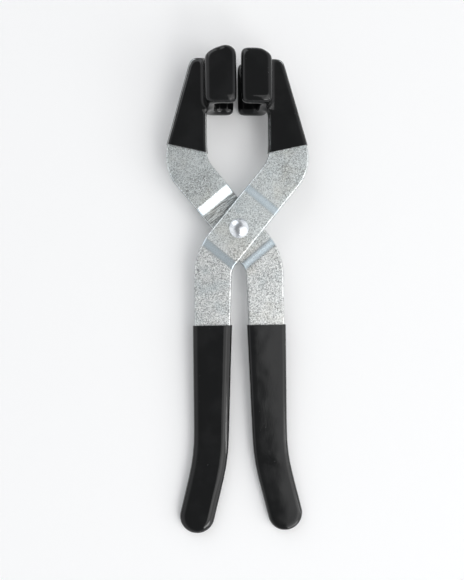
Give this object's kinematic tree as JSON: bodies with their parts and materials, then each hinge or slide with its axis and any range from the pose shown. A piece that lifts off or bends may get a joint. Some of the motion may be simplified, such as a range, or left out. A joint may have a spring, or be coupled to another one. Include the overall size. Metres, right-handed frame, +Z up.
{
  "type": "snap setter pliers",
  "caption": "Hand pliers with crossed, stepped flat-steel arms on a rivet, dipped grips, and facing coated channel jaws that hold and squeeze a snap-setting tool.",
  "frame": {"origin": "on the resting surface under the middle of the pliers' box", "axes": "+Y from the handles to the jaws, +X towards the jaw of the front arm, +Z up, with the pliers lying on their jaws and handle ends"},
  "size_m": [0.0758, 0.2522, 0.0293],
  "materials": {
    "zinc_plate": "bright zinc plate with a fine mottle",
    "rivet_steel": "smooth bright steel",
    "raw_steel": "plain steel under the coat",
    "black_vinyl": "thick glossy dipped vinyl"
  },
  "bodies": {
    "back_side": {"back_arm": "zinc_plate", "left_jaw_channel": "raw_steel", "left_jaw_coat": "black_vinyl", "right_handle_grip": "black_vinyl", "pivot_rivet": "rivet_steel", "rivet_washer": "zinc_plate"},
    "front_side": {"front_arm": "zinc_plate", "right_jaw_channel": "raw_steel", "right_jaw_coat": "black_vinyl", "left_handle_grip": "black_vinyl"}
  },
  "joints": [
    {"name": "pivot", "type": "hinge", "parent": "back_side", "child": "front_side", "pos_m": [0, 0.03407, 0.01065], "axis": [0, 0.0515, -0.9987], "range_deg": [-1.4, 32]}
  ]
}
